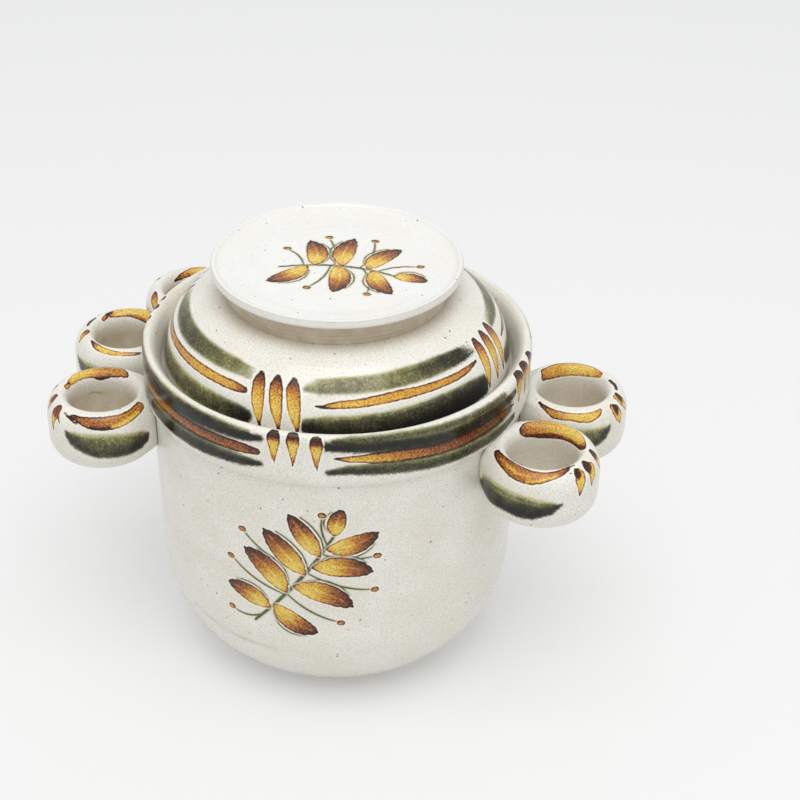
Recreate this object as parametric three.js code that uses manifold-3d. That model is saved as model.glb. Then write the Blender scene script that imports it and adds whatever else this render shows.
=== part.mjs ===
// Stoneware tobacco jar. Five open rings are stuck to the wall under a thick collar. The lid drops
// onto a ledge inside the collar and carries a wide shallow dish as its knob.
// Millimetres, +Z up. The origin is the middle of the flat base, and -Y is the jar's front.
import * as THREE from 'three';
import { mergeVertices } from 'three/addons/utils/BufferGeometryUtils.js';
import Module from 'manifold-3d';

const wasm = await Module();
wasm.setup();

// Jar wall: a flat base, a round lower curve and a wall that widens a little towards the collar
const baseRadius = 35;
const baseCurveRadius = 38;
const wallFlare = 2.2;
const wallTop = 93;
const wallThickness = 5.5;
const floorThickness = 7;

// Collar round the mouth, with a lip that falls away inwards and a ledge inside it for the lid
const collarRadius = 61;
const collarOverhang = 1.8;
const collarHeight = 17.4;
const collarSwell = 4;
const lipThickness = 5.6;
const lipRound = 2;
const lipFlat = 0.6;
const lipFall = 4.8;
const lipFallBow = 0.9;
const ledgeDepth = 9.6;
const ledgeWidth = 6;
const ledgeThickness = 6;
const ledgeTaper = 7;

// Lid: a hollow dome that rises in one curve from a low rim to a flat crown
const lidClearance = 0.9;
const seatGap = 0.3;
const lidHeight = 25;
const lidRimHeight = 3.7;
const lidRimWidth = 7.5;
const lidLean = 5.5;
const lidCrownMargin = 1;
const lidThickness = 5;

// Dish knob: a foot ring, a neck that flares out under a square rim, and a shallow sunk floor
const luteGap = 0.3;
const dishRadius = 38.7;
const dishHeight = 9.5;
const dishRimThickness = 2.7;
const dishRimRound = 0.8;
const dishNeckHeight = 4.2;
const dishFootRadius = 35;
const dishFootWidth = 7;
const dishRecess = 3.4;
const dishFloorRadius = 31;
const dishFloorDrop = 1.7;

// Rings: short fat doughnuts with round edges, three on the left and two on the right
const ringRadius = 17.6;
const ringBore = 10.5;
const ringHeight = 20;
const ringOuterRound = 4.6;
const ringShoulder = 6.8;
const ringBoreShoulder = 3.6;
const ringBite = 2.4;
const ringSpacing = 0.9;
const ringRise = 2;
const openFront = THREE.MathUtils.degToRad(137.2);
const leftGap = THREE.MathUtils.degToRad(1.5);
const leftRings = ['left_front', 'left_middle', 'left_back'];
const rightRings = ['right_front', 'right_back'];

// Facets: steps round the big turned pieces, round a ring, and along the curves of their sections
const turnSteps = 56;
const ringTurnSteps = 24;
const longCurveSteps = 6;
const shortCurveSteps = 3;
const domeSteps = 8;
const mergeDistance = 1e-4;

// Places worked out from the sizes above
const wallTopRadius = collarRadius - collarOverhang;
const wallLowRadius = wallTopRadius - wallFlare;
const curveCentre = wallLowRadius - baseCurveRadius;
const curveAngle = Math.acos((baseRadius - curveCentre) / baseCurveRadius);
const wallLow = baseCurveRadius * Math.sin(curveAngle);
const lipTop = wallTop + collarHeight;
const mouthRadius = collarRadius - lipThickness;
const throatRadius = mouthRadius - ledgeWidth;
const ledgeTop = lipTop - ledgeDepth;
const ledgeLow = ledgeTop - ledgeThickness;
const lidSeat = ledgeTop + seatGap;
const lidRadius = mouthRadius - lidClearance;
const lidShoulderRadius = lidRadius - lidLean;
const lidCrownRadius = dishFootRadius + lidCrownMargin;
const ringCrest = ringRadius - ringOuterRound;
const ringTop = wallTop + ringRise;
const ringCentre = wallTopRadius - ringBite + ringRadius;
const ringPitch = 2 * Math.asin((ringRadius + ringSpacing / 2) / ringCentre);
const quarter = Math.PI / 2;

function at(radius, height) {
  return new THREE.Vector2(radius, height);
}

// Points of an elliptical arc in a turned section, with the angle counted up from outwards.
function arc(centre, radial, axial, from, to, steps) {
  const points = [];
  for (let step = 0; step <= steps; step += 1) {
    const angle = from + ((to - from) * step) / steps;
    points.push(at(centre.x + radial * Math.cos(angle), centre.y + axial * Math.sin(angle)));
  }
  return points;
}

function bend(from, control, to, steps) {
  return new THREE.QuadraticBezierCurve(from, control, to).getPoints(steps);
}

// Turns a section about the upright axis into a closed body with shared corners and no flat slivers.
function turned(section, steps) {
  const lathe = new THREE.LatheGeometry(section, steps);
  lathe.rotateX(quarter);
  lathe.deleteAttribute('normal');
  lathe.deleteAttribute('uv');
  const body = mergeVertices(lathe, mergeDistance);
  const corners = body.index.array;
  const kept = [];
  for (let i = 0; i < corners.length; i += 3) {
    const [a, b, c] = corners.slice(i, i + 3);
    if (a !== b && b !== c && c !== a) {
      kept.push(a, b, c);
    }
  }
  body.setIndex(kept);
  return body;
}

function solid(geometry) {
  const mesh = new wasm.Mesh({
    numProp: 3,
    vertProperties: new Float32Array(geometry.attributes.position.array),
    triVerts: new Uint32Array(geometry.index.array),
  });
  return new wasm.Manifold(mesh);
}

function geometryOf(manifold) {
  const mesh = manifold.getMesh();
  const geometry = new THREE.BufferGeometry();
  geometry.setAttribute('position', new THREE.BufferAttribute(mesh.vertProperties, 3));
  geometry.setIndex(new THREE.BufferAttribute(mesh.triVerts, 1));
  return geometry;
}

// The jar's outside, from the middle of the base to the top of the collar's straight side. With a
// positive grow it is the shape that a piece stuck to the wall is cut back to.
function jarOutside(grow) {
  const wallEnd = at(wallTopRadius + grow, wallTop - grow);
  const collarStart = at(collarRadius + grow, wallTop + collarSwell);
  const underCollar = at(collarRadius + grow, wallTop - grow);
  return [
    at(0, 0),
    ...arc(at(curveCentre, wallLow), baseCurveRadius + grow, baseCurveRadius, -curveAngle, 0, longCurveSteps),
    ...bend(wallEnd, underCollar, collarStart, shortCurveSteps),
    at(collarRadius + grow, lipTop - lipRound),
  ];
}

function jarBody() {
  const innerCurve = baseCurveRadius - wallThickness;
  const floorAngle = Math.asin((wallLow - floorThickness) / innerCurve);
  const lipRoundCentre = at(collarRadius - lipRound, lipTop - lipRound);
  const lipEdge = at(lipRoundCentre.x - lipFlat, lipTop);
  const lipFoot = at(mouthRadius, lipTop - lipFall);
  const lipBend = at((lipEdge.x + lipFoot.x) / 2, (lipEdge.y + lipFoot.y) / 2 + lipFallBow);
  const section = [
    ...jarOutside(0),
    ...arc(lipRoundCentre, lipRound, lipRound, 0, quarter, shortCurveSteps),
    ...bend(lipEdge, lipBend, lipFoot, shortCurveSteps),
    at(mouthRadius, ledgeTop),
    at(throatRadius, ledgeTop),
    at(throatRadius, ledgeLow),
    at(wallTopRadius - wallThickness, ledgeLow - ledgeTaper),
    ...arc(at(curveCentre, wallLow), innerCurve, innerCurve, 0, -floorAngle, longCurveSteps),
    at(0, floorThickness),
  ];
  return turned(section, turnSteps);
}

function lidDome() {
  const innerTop = lidHeight - lidThickness;
  const innerShoulder = lidShoulderRadius - lidThickness;
  const innerCrown = lidCrownRadius - lidThickness;
  const innerRim = lidRadius - lidRimWidth;
  const section = [
    at(0, innerTop),
    ...bend(at(innerCrown, innerTop), at(innerShoulder, innerTop), at(innerRim, lidRimHeight), domeSteps),
    at(innerRim, 0),
    at(lidRadius, 0),
    ...bend(
      at(lidRadius, lidRimHeight),
      at(lidShoulderRadius, lidHeight),
      at(lidCrownRadius, lidHeight),
      domeSteps,
    ),
    at(0, lidHeight),
  ];
  return turned(section, turnSteps);
}

function lidDish() {
  const rimLow = dishHeight - dishRimThickness;
  const footInner = dishFootRadius - dishFootWidth;
  const rimInner = dishRadius - dishRimRound;
  const lowEdge = at(rimInner, rimLow + dishRimRound);
  const highEdge = at(rimInner, dishHeight - dishRimRound);
  const neck = at(dishFootRadius, dishNeckHeight);
  const section = [
    at(0, dishRecess),
    at(footInner, dishRecess),
    at(footInner, 0),
    at(dishFootRadius, 0),
    ...bend(neck, at(dishFootRadius, rimLow), at(rimInner, rimLow), shortCurveSteps).slice(0, -1),
    ...arc(lowEdge, dishRimRound, dishRimRound, -quarter, 0, shortCurveSteps),
    ...arc(highEdge, dishRimRound, dishRimRound, 0, quarter, shortCurveSteps),
    at(dishFloorRadius, dishHeight - dishFloorDrop),
    at(0, dishHeight - dishFloorDrop),
  ];
  return turned(section, turnSteps);
}

// One ring, about its own upright axis with the jar's axis along -X, cut back to the jar's wall.
function pipeRing() {
  const boreRound = ringCrest - ringBore;
  const outerLow = at(ringCrest, ringShoulder);
  const outerHigh = at(ringCrest, ringHeight - ringShoulder);
  const boreHigh = at(ringCrest, ringHeight - ringBoreShoulder);
  const boreLow = at(ringCrest, ringBoreShoulder);
  const section = [
    ...arc(outerLow, ringOuterRound, ringShoulder, -quarter, 0, shortCurveSteps),
    ...arc(outerHigh, ringOuterRound, ringShoulder, 0, quarter, shortCurveSteps),
    ...arc(boreHigh, boreRound, ringBoreShoulder, quarter, 2 * quarter, shortCurveSteps),
    ...arc(boreLow, boreRound, ringBoreShoulder, 2 * quarter, 3 * quarter, shortCurveSteps),
  ];
  const jar = turned([...jarOutside(luteGap), at(0, lipTop - lipRound)], turnSteps);
  jar.translate(-ringCentre, 0, ringHeight - ringTop);
  return geometryOf(solid(turned(section, ringTurnSteps)).subtract(solid(jar)));
}

const oatmeal = '#d9d7d0';
const warmOatmeal = '#d6cfbf';
const paleOatmeal = '#dfddd7';
const glazeRoughness = 0.3;

function piece(name, geometry, colour) {
  const material = new THREE.MeshStandardMaterial({ color: colour, roughness: glazeRoughness, metalness: 0 });
  const mesh = new THREE.Mesh(geometry, material);
  mesh.name = name;
  return mesh;
}

const jar = new THREE.Group();
jar.add(piece('jar_body', jarBody(), oatmeal));

const lid = new THREE.Group();
lid.position.z = lidSeat;
lid.add(piece('lid_dome', lidDome(), oatmeal));
const dish = piece('lid_dish', lidDish(), paleOatmeal);
dish.position.z = lidHeight + luteGap;
lid.add(dish);
jar.add(lid);

// A ring stands in a group that is turned about the jar's axis to the ring's bearing from the front.
const ringGeometry = pipeRing();

function addRing(side, bearing) {
  const turn = new THREE.Group();
  turn.rotation.z = bearing - quarter;
  const ring = piece(`pipe_ring_${side}`, ringGeometry, warmOatmeal);
  ring.position.set(ringCentre, 0, ringTop - ringHeight);
  turn.add(ring);
  jar.add(turn);
}

leftRings.forEach((side, count) => {
  const gap = count > 0 ? leftGap : 0;
  addRing(side, -(openFront / 2 + gap + count * ringPitch));
});
rightRings.forEach((side, count) => addRing(side, openFront / 2 + count * ringPitch));

export default jar;
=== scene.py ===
import math
import bpy
import numpy as np
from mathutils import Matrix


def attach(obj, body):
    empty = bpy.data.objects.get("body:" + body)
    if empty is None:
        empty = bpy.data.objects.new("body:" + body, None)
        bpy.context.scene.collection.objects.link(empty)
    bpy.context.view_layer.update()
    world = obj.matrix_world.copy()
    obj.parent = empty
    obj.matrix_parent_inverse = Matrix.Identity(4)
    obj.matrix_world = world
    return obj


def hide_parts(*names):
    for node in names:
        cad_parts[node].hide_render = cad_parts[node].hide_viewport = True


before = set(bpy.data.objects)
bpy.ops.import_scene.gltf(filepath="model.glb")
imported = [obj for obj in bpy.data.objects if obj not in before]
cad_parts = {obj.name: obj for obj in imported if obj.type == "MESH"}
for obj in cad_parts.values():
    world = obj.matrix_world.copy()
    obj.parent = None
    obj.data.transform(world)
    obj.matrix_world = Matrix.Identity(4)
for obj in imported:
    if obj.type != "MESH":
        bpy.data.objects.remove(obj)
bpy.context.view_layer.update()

mm = 0.001
arcPoints = 33  # points along a rounded corner
walkStep = 0.1  # mm, how finely a section is walked
sharpTurn = 0.17  # radians, a turn in a section that always gets a point
tiny = 1e-6  # mm, shorter than any real step
smoothUpTo = 50  # degrees, the sharpest edge that is still shaded smooth
farAway = 30.0  # mm, a distance no brush mark reaches
brushReach = 8.0  # mm, how far from its path a mark is worked out
overlapBlend = 0.5  # mm, over which a mark's tone takes over from the one below it
leanMargin = 0.3  # mm, added to a mark's half width where its tone leans to one side


# Turned shapes

# Corners are (radius, height, cut before, cut after) in mm. The two cuts are rounded over by an arc.
def roundCorners(corners, closed=False):
    points = []
    for i, corner in enumerate(corners):
        here = np.array(corner[:2], float)
        atEnd = not closed and i in (0, len(corners) - 1)
        if atEnd or len(corner) == 2:
            points.append(here)
            continue
        before = np.array(corners[i - 1][:2], float) - here
        after = np.array(corners[(i + 1) % len(corners)][:2], float) - here
        before = before / np.linalg.norm(before)
        after = after / np.linalg.norm(after)
        start = here + before * corner[2]
        end = here + after * corner[-1]
        weight = math.sqrt((1 - before @ after) / 2)
        for t in np.linspace(0, 1, arcPoints):
            a, b, c = (1 - t) ** 2, 2 * weight * t * (1 - t), t * t
            points.append((a * start + b * here + c * end) / (a + b + c))
    if closed:
        points.append(points[0])
    return points


# Keeps a point where the section has run on by a step, or turned by a few degrees.
def spaceOut(points, stepAt):
    dense = []
    for here, there in zip(points, points[1:]):
        parts = max(1, math.ceil(np.linalg.norm(there - here) / walkStep))
        dense += [here + (there - here) * k / parts for k in range(parts)]
    dense.append(points[-1])
    kept = [dense[0]]
    run, turn = 0.0, 0.0
    for before, here, after in zip(dense, dense[1:], dense[2:]):
        first, second = here - before, after - here
        run += np.linalg.norm(first)
        if np.linalg.norm(first) > tiny and np.linalg.norm(second) > tiny:
            turn += abs(math.atan2(first[0] * second[1] - first[1] * second[0], first @ second))
        if run >= stepAt(here) or turn > sharpTurn:
            kept.append(here)
            run, turn = 0.0, 0.0
    kept.append(dense[-1])
    return np.array(kept)


# Draws the section point by point from the middle of a plane, then spins it about the upright axis.
def turnOnWheel(name, section, steps):
    bpy.ops.object.select_all(action="DESELECT")
    bpy.ops.mesh.primitive_plane_add(size=2 * mm, location=(0, 0, 0))
    piece = bpy.context.object
    piece.name = name
    piece.data.name = name
    bpy.ops.object.mode_set(mode="EDIT")
    bpy.ops.mesh.select_all(action="SELECT")
    bpy.ops.mesh.merge(type="CENTER")
    bpy.ops.transform.translate(value=(section[0][0] * mm, 0, section[0][1] * mm))
    for move in np.diff(section, axis=0) * mm:
        bpy.ops.mesh.extrude_region_move(TRANSFORM_OT_translate={"value": (move[0], 0, move[1])})
    bpy.ops.mesh.select_all(action="SELECT")
    bpy.ops.mesh.spin(steps=steps, angle=2 * math.pi, center=(0, 0, 0), axis=(0, 0, 1))
    bpy.ops.mesh.select_all(action="SELECT")
    bpy.ops.mesh.remove_doubles(threshold=0.01 * mm)
    bpy.ops.mesh.normals_make_consistent(inside=False)
    bpy.ops.object.mode_set(mode="OBJECT")
    return piece


def readPoints(piece):
    flat = np.empty(len(piece.data.vertices) * 3)
    piece.data.vertices.foreach_get("co", flat)
    return flat.reshape(-1, 3) / mm


def writePoints(piece, points):
    piece.data.vertices.foreach_set("co", (points * mm).ravel())
    piece.data.update()


def smoothOver(piece):
    bpy.ops.object.select_all(action="DESELECT")
    piece.select_set(True)
    bpy.context.view_layer.objects.active = piece
    bpy.ops.object.shade_smooth_by_angle(angle=math.radians(smoothUpTo))


# Distance from the upright axis, and degrees round it from the front
def aboutAxis(points):
    radius = np.hypot(points[:, 0], points[:, 1])
    return radius, np.degrees(np.arctan2(points[:, 0], -points[:, 1]))


# Distance run along the section at each point, counted from a landmark on it.
def runAlong(radius, height, section, landmark):
    lengths = np.linalg.norm(np.diff(section, axis=0), axis=1)
    starts = np.concatenate([[0], np.cumsum(lengths)])
    radius = np.append(radius, landmark[0])
    height = np.append(height, landmark[1])
    nearest = np.full(len(radius), 1e9)
    run = np.zeros(len(radius))
    for (r0, z0), (r1, z1), length, start in zip(section, section[1:], lengths, starts):
        if length < tiny:
            continue
        t = ((radius - r0) * (r1 - r0) + (height - z0) * (z1 - z0)) / length ** 2
        t = np.clip(t, 0, 1)
        gap = np.hypot(radius - r0 - t * (r1 - r0), height - z0 - t * (z1 - z0))
        closer = gap < nearest
        nearest = np.where(closer, gap, nearest)
        run = np.where(closer, start + t * length, run)
    return run[:-1] - run[-1] + landmark[2]


# Brushwork

# Masks that the glaze reads, with the value each has where nothing is painted.
plainMasks = {
    "greenEdge": farAway, "greenTone": 0, "amberEdge": farAway, "amberTone": 0, "lineEdge": farAway,
    "thinGlazeAndShade": 0, "bareClay": 0,
}


def addMask(piece, name, values):
    layer = piece.data.attributes.new(name, "FLOAT", "POINT")
    layer.data.foreach_set("value", np.asarray(values, np.float32))


# A brush mark is a path of (degrees round, mm along, half width, tone). Each point of the piece gets
# its distance in mm to the edge of the nearest mark, below zero inside, and the paint's tone there.
# A later mark lies over an earlier one.
def brushOn(piece, name, degrees, along, radius, marks):
    distance = np.full(len(degrees), farAway)
    tone = np.zeros(len(degrees))
    for mark in marks:
        heights = [point[1] for point in mark["path"]]
        near = np.flatnonzero((along > min(heights) - brushReach) & (along < max(heights) + brushReach))
        girth = np.broadcast_to(radius, len(degrees))[near]
        own = np.full(len(near), farAway)
        laid = np.zeros(len(near))
        for (a0, v0, w0, t0), (a1, v1, w1, t1) in zip(mark["path"], mark["path"][1:]):
            x = np.radians((degrees[near] - a0 + 180) % 360 - 180) * girth
            y = along[near] - v0
            ex = np.radians((a1 - a0 + 180) % 360 - 180) * girth
            ey = v1 - v0
            square = ex * ex + ey * ey + 1e-9
            t = np.clip((x * ex + y * ey) / square, 0, 1)
            width = w0 + t * (w1 - w0)
            reach = np.hypot(x - t * ex, y - t * ey) - width
            across = (ex * y - ey * x) / np.sqrt(square) / (width + leanMargin)
            closer = reach < own
            own = np.where(closer, reach, own)
            lean = mark.get("lean", 0) * np.clip(across, -1, 1)
            laid = np.where(closer, t0 + t * (t1 - t0) + lean, laid)
        under = distance[near]
        share = np.where(under < 0, np.clip(0.5 - own / overlapBlend, 0, 1), own < under)
        tone[near] += share * (laid - tone[near])
        distance[near] = np.minimum(under, own)
    addMask(piece, name + "Edge", distance)
    if name + "Tone" in plainMasks:
        addMask(piece, name + "Tone", tone)


# A mark whose points are mm across and up from a middle, laid on a surface of one radius.
def layOut(path, middle, radius):
    return [
        (middle[0] + math.degrees(x / radius), middle[1] + y, width, tone)
        for x, y, width, tone in path
    ]


# A leaf from its stalk to its tip, as (share of the length, share of the width, tone).
leafShape = [
    (0.0, 0.08, 0.5), (0.08, 0.36, 0.2), (0.2, 0.7, 0.06), (0.34, 0.95, 0.14), (0.48, 1.0, 0.36),
    (0.62, 0.96, 0.58), (0.75, 0.82, 0.74), (0.88, 0.55, 0.86), (1.0, 0.14, 0.95),
]
sprigStyle = {
    "veinWidth": 0.3, "veinFade": 0.24, "leafLean": 0.16,
    "strokeWidth": 0.26, "strokeGap": 0.95, "stemPoints": 9, "stemEnds": 0.7,
    "berryStretch": 0.3, "berryTone": 0.4, "berryLean": 0.3,
}


def leaf(stalk, tip, halfWidth, sway):
    (x0, y0), (x1, y1) = stalk, tip
    dx, dy = x1 - x0, y1 - y0
    path = []
    for t, share, tone in leafShape:
        bow = sway * math.sin(math.pi * t)
        path.append((x0 + dx * t - dy * bow, y0 + dy * t + dx * bow, halfWidth * share, tone))
    return path


# A thin green stroke that follows one edge of a leaf.
def edgeStroke(path, side):
    length = math.hypot(path[-1][0] - path[0][0], path[-1][1] - path[0][1])
    acrossX = -(path[-1][1] - path[0][1]) / length
    acrossY = (path[-1][0] - path[0][0]) / length
    shifted = []
    for x, y, width, tone in path[1:-1]:
        shift = side * (width + sprigStyle["strokeGap"])
        shifted.append((x + acrossX * shift, y + acrossY * shift, sprigStyle["strokeWidth"], 0))
    return shifted


# A stem bows from its foot past a middle point to its end, and is thickest half way.
def stem(foot, middle, end, halfWidth):
    ends = sprigStyle["stemEnds"]
    path = []
    for t in np.linspace(0, 1, sprigStyle["stemPoints"]):
        a, b, c = (1 - t) ** 2, 2 * t * (1 - t), t * t
        x, y = (a * p + b * q + c * r for p, q, r in zip(foot, middle, end))
        path.append((x, y, halfWidth * (ends + (1 - ends) * math.sin(math.pi * t)), 0))
    return path


def addSprig(sprig, lay, lineMarks, amberMarks):
    for shape in sprig["stems"]:
        lineMarks.append({"path": lay(stem(*shape))})
    size, tone, reach = sprig["berrySize"], sprigStyle["berryTone"], sprigStyle["berryStretch"]
    for x, y in sprig["berries"]:
        berry = [(x - reach, y, size, tone), (x + reach, y, size, tone)]
        amberMarks.append({"lean": sprigStyle["berryLean"], "path": lay(berry)})
    for stalk, tip, width, sway in sprig["leaves"]:
        shape = leaf(stalk, tip, width, sway)
        vein = [
            (x, y, sprigStyle["veinWidth"], tone - sprigStyle["veinFade"])
            for x, y, halfWidth, tone in shape[3:-1]]
        side = 1 if sway > 0 else -1
        amberMarks.append({"lean": side * sprigStyle["leafLean"], "path": lay(shape)})
        amberMarks.append({"path": lay(vein)})
        lineMarks.append({"path": lay(edgeStroke(shape, side))})


# Finishes

def linear(hexColour):
    values = [int(hexColour[i:i + 2], 16) / 255 for i in (1, 3, 5)]
    return [v / 12.92 if v <= 0.04045 else ((v + 0.055) / 1.055) ** 2.4 for v in values] + [1.0]


# Adds a node with its inputs, by place or by name, and its settings, and gives back one of its outputs.
def addNode(tree, kind, inputs=(), out=0, **settings):
    node = tree.nodes.new("ShaderNode" + kind)
    for key, value in settings.items():
        setattr(node, key, value)
    for key, value in inputs.items() if isinstance(inputs, dict) else enumerate(inputs):
        if isinstance(value, bpy.types.NodeSocket):
            tree.links.new(value, node.inputs[key])
        else:
            node.inputs[key].default_value = value
    return node.outputs[out] if node.outputs else None


def setRamp(socket, stops):
    ramp = socket.node.color_ramp
    while len(ramp.elements) < len(stops):
        ramp.elements.new(0.5)
    for element, (place, colour) in zip(ramp.elements, stops):
        element.position = place
        element.color = linear(colour)


# Oatmeal glaze on stoneware, dipped and fired glossy: an off-white ground with a fine sandy grain,
# iron specks that bled through it, and brushed oxides that mottle and darken at their edges.
def glazedStoneware(name, glaze):
    material = bpy.data.materials.new(name)
    material.use_nodes = True
    tree = material.node_tree
    tree.nodes.clear()
    # A colour mix takes its share at socket 0 and its two colours at 6 and 7, and gives its result at 2.
    # Distances to an edge are in mm, below zero inside a mark, and noise runs from about 0.3 to 0.7.
    colours = {"data_type": "RGBA", "out": 2}
    soft = {"interpolation_type": "SMOOTHSTEP"}
    times = {"operation": "MULTIPLY"}
    place = addNode(tree, "TexCoord", out="Object")
    greenEdge, greenTone, amberEdge, amberTone, lineEdge, thinAndShade, bare = (
        addNode(tree, "Attribute", out="Fac", attribute_name=layer) for layer in plainMasks)
    cloud = {
        key: addNode(tree, "TexNoise", {
            "Vector": place, "Scale": 1 / (size * mm), "Detail": detail, "Roughness": roughness})
        for key, (size, detail, roughness) in glaze["clouds"].items()
    }

    # Ground, warmer in places, with grit in it
    share = addNode(tree, "MapRange", [cloud["ground"], 0.35, 0.68])
    ground = addNode(tree, "Mix", {0: share, 6: linear(glaze["pale"]), 7: linear(glaze["warm"])}, **colours)
    share = addNode(tree, "MapRange", [cloud["grit"], 0.42, 0.72, 0, glaze["gritDepth"]])
    ground = addNode(tree, "Mix", {0: share, 6: ground, 7: linear(glaze["gritColour"])}, **colours)

    # Iron specks, one to a cell at most
    spacing = glaze["speckSpacing"]
    cell = addNode(tree, "TexVoronoi", {"Vector": place, "Scale": 1 / (spacing * mm)}).node.outputs
    chance, size = addNode(tree, "SeparateColor", [cell["Color"]]).node.outputs[:2]
    size = addNode(tree, "MapRange", [size, 0, 1, *(width / spacing for width in glaze["speckSize"])])
    dot = addNode(tree, "Math", [size, cell["Distance"]], operation="SUBTRACT")
    dot = addNode(tree, "MapRange", [dot, -0.03, 0.03, 0, glaze["speckDepth"]])
    chosen = addNode(tree, "Math", [chance, glaze["speckShare"]], operation="LESS_THAN")
    share = addNode(tree, "Math", [dot, chosen], **times)
    ground = addNode(tree, "Mix", {0: share, 6: ground, 7: linear(glaze["speck"])}, **colours)

    # Tan where the glaze is thin, also used as painted shade under the dish rim, round the dish's foot and
    # down the ring bores
    patchy = addNode(tree, "MapRange", [cloud["thinAndShade"], 0.3, 0.6, 0.75, 1])
    share = addNode(tree, "Math", [thinAndShade, patchy], **times)
    ground = addNode(tree, "Mix", {0: share, 6: ground, 7: linear(glaze["thinAndShade"])}, **colours)

    # Green bands with fuzzy, grainy edges, kept clear of the amber marks by a thin line of bare glaze
    ragged = addNode(tree, "MapRange", [cloud["grain"], 0.3, 0.7, -0.36, 0.36])
    ragged = addNode(tree, "Math", [greenEdge, ragged])
    cover = addNode(tree, "MapRange", [ragged, 0.75, -0.45], **soft)
    clear = addNode(tree, "MapRange", [amberEdge, 0.15, 0.6], **soft)
    deep = addNode(tree, "MapRange", [greenEdge, -0.4, -0.9])  # amber laid over green keeps no pale line
    clear = addNode(tree, "Math", [clear, deep], operation="MAXIMUM")
    share = addNode(tree, "Math", [cover, clear], **times)
    inside = addNode(tree, "MapRange", [greenEdge, 0.5, -1.6, -0.3, 0.12])
    mottle = addNode(tree, "MapRange", [cloud["grain"], 0.3, 0.7, -0.2, 0.2])
    drift = addNode(tree, "MapRange", [cloud["drift"], 0.3, 0.7, -0.1, 0.1])
    strength = addNode(tree, "Math", [greenTone, inside])
    strength = addNode(tree, "Math", [strength, mottle])
    strength = addNode(tree, "Math", [strength, drift])
    green = addNode(tree, "ValToRGB", [strength])
    setRamp(green, glaze["green"])
    painted = addNode(tree, "Mix", {0: share, 6: ground, 7: green}, **colours)

    # Thin olive lines with a faint bleed beside them
    share = addNode(tree, "MapRange", [lineEdge, 0.8, 0.0, 0, glaze["bleed"]], **soft)
    painted = addNode(tree, "Mix", {0: share, 6: painted, 7: linear(glaze["green"][0][1])}, **colours)
    share = addNode(tree, "MapRange", [cloud["grain"], 0.35, 0.65])
    faint, strong = (linear(colour) for colour in glaze["line"])
    line = addNode(tree, "Mix", {0: share, 6: faint, 7: strong}, **colours)
    share = addNode(tree, "MapRange", [lineEdge, 0.14, -0.12], **soft)
    painted = addNode(tree, "Mix", {0: share, 6: painted, 7: line}, **colours)

    # Amber marks, yellow where thin and brown where thick, with a dark broken outline and a pale rim
    fray = addNode(tree, "MapRange", [cloud["fray"], 0, 1, -0.3, 0.3])
    fray = addNode(tree, "Math", [amberEdge, fray])
    share = addNode(tree, "MapRange", [fray, 0.8, 0.2, 0, glaze["halo"]], **soft)
    dry = addNode(tree, "Math", [1.0, deep], operation="SUBTRACT")
    share = addNode(tree, "Math", [share, dry], **times)
    painted = addNode(tree, "Mix", {0: share, 6: painted, 7: linear(glaze["haloColour"])}, **colours)
    curdle = addNode(tree, "MapRange", [cloud["curdle"], 0.3, 0.7, -0.22, 0.22])
    fleck = addNode(tree, "MapRange", [cloud["fleck"], 0.55, 0.72, 0, 0.34])
    outline = addNode(tree, "MapRange", [fray, -0.75, 0.0], **soft)
    broken = addNode(tree, "MapRange", [cloud["broken"], 0.35, 0.65, 0.3, 0.8])
    outline = addNode(tree, "Math", [outline, broken], **times)
    thickness = addNode(tree, "Math", [amberTone, curdle])
    thickness = addNode(tree, "Math", [thickness, fleck])
    thickness = addNode(tree, "Math", [thickness, outline])
    amber = addNode(tree, "ValToRGB", [thickness])
    setRamp(amber, glaze["amber"])
    share = addNode(tree, "MapRange", [fray, 0.2, -0.14], **soft)
    painted = addNode(tree, "Mix", {0: share, 6: painted, 7: amber}, **colours)

    # Bare clay on the foot
    colour = addNode(tree, "Mix", {0: bare, 6: painted, 7: linear(glaze["clay"])}, **colours)
    gloss = addNode(tree, "MapRange", [cloud["gloss"], 0.3, 0.7, *glaze["gloss"]])
    rough = addNode(tree, "Mix", {0: bare, 2: gloss, 3: glaze["clayRough"]})

    # The glaze lies in soft waves, with a fine peel over them
    wave = addNode(tree, "Bump", {"Height": cloud["wave"], "Strength": 0.25, "Distance": 0.25 * mm})
    peel = addNode(tree, "Bump", {
        "Height": cloud["grain"], "Strength": 0.25, "Distance": 0.03 * mm, "Normal": wave})
    shader = addNode(tree, "BsdfPrincipled", {
        "Base Color": colour, "Roughness": rough, "IOR": 1.4, "Normal": peel})
    addNode(tree, "OutputMaterial", [shader])
    return material


# Clouds are (size in mm, detail, roughness).
glazeColours = {
    "pale": "#e8e6de", "warm": "#e2ded2",
    "gritDepth": 0.5, "gritColour": "#a3967c",
    "speck": "#3f352b", "speckDepth": 0.8, "speckSpacing": 3.6, "speckSize": (0.1, 0.36), "speckShare": 0.85,
    "thinAndShade": "#a48a60", "clay": "#b3987a", "clayRough": 0.85, "gloss": (0.14, 0.26),
    "halo": 0.5, "haloColour": "#eeecdf", "line": ("#6c6f42", "#373a1f"), "bleed": 0.45,
    "green": [
        (0.0, "#b6b285"), (0.2, "#8c8959"), (0.4, "#64623d"),
        (0.6, "#413f28"), (0.8, "#222015"), (1.0, "#0e0e0a")],
    "amber": [
        (0.0, "#e1ca6a"), (0.22, "#cfa741"), (0.45, "#b97a30"),
        (0.65, "#91522a"), (0.82, "#653724"), (1.0, "#33190f")],
    "clouds": {
        "ground": (16, 3, 0.5), "grit": (0.45, 2, 0.7), "thinAndShade": (5, 3, 0.5), "grain": (0.7, 3, 0.65),
        "drift": (3.5, 2, 0.5), "fray": (1.1, 2, 0.5), "curdle": (0.55, 2, 0.65), "fleck": (0.4, 1, 0.5),
        "broken": (4, 2, 0.5), "gloss": (9, 2, 0.5), "wave": (7, 1, 0.5),
    },
}
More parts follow.
